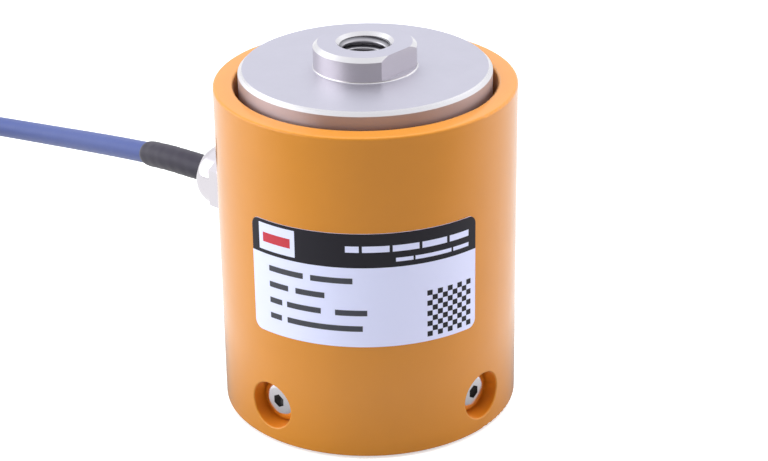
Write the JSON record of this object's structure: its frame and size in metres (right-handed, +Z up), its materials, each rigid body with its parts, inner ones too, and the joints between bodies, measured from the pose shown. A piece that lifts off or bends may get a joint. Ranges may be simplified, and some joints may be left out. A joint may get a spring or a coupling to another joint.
{
  "type": "load cell",
  "caption": "Cylindrical load cell: orange sleeve screwed round a steel spring element with a free load disc, threaded boss and base, cable gland and coiled signal cable.",
  "frame": {"origin": "centre of the base's underside, where the cell stands", "axes": "+Z up along the cell's axis towards the threaded boss; the label faces -Y and the gland points to -X +Y"},
  "size_m": [0.2063, 0.1616, 0.0765],
  "materials": {
    "orange_coat": "satin orange coat on a turned tube",
    "spring_steel": "satin turned steel",
    "screw_steel": "bright stainless steel",
    "label_film": "printed film",
    "gland_plate": "polished nickel plate",
    "gland_rubber": "matt",
    "shrink_film": "matt dark heat-shrink",
    "cable_jacket": "satin blue jacket",
    "strap_film": "matt",
    "core_red": "satin",
    "core_black": "satin",
    "core_green": "satin",
    "core_white": "satin",
    "drain_wire": "tinned strands",
    "gauge_film": "satin",
    "ribbon_film": "satin",
    "board_laminate": "satin"
  },
  "bodies": {
    "root": {"outer_sleeve": "orange_coat", "spring_element": "spring_steel", "sleeve_screws": "screw_steel", "rating_label": "label_film", "gland_body": "gland_plate", "gland_washer": "gland_rubber", "gland_seal": "gland_rubber", "gland_nut": "gland_plate", "heat_shrink_sleeve": "shrink_film", "cable_lead": "cable_jacket", "cable_coil": "cable_jacket", "coil_strap": "strap_film", "terminal_board": "board_laminate", "shield_drain": "drain_wire", "strain_gauge_upper_left": "gauge_film", "gauge_ribbon_upper_left": "ribbon_film", "strain_gauge_upper_right": "gauge_film", "gauge_ribbon_upper_right": "ribbon_film", "strain_gauge_lower_left": "gauge_film", "gauge_ribbon_lower_left": "ribbon_film", "strain_gauge_lower_right": "gauge_film", "gauge_ribbon_lower_right": "ribbon_film", "lead_red": "core_red", "core_wire_red": "core_red", "lead_black": "core_black", "core_wire_black": "core_black", "lead_green": "core_green", "core_wire_green": "core_green", "lead_white": "core_white", "core_wire_white": "core_white"}
  },
  "joints": []
}
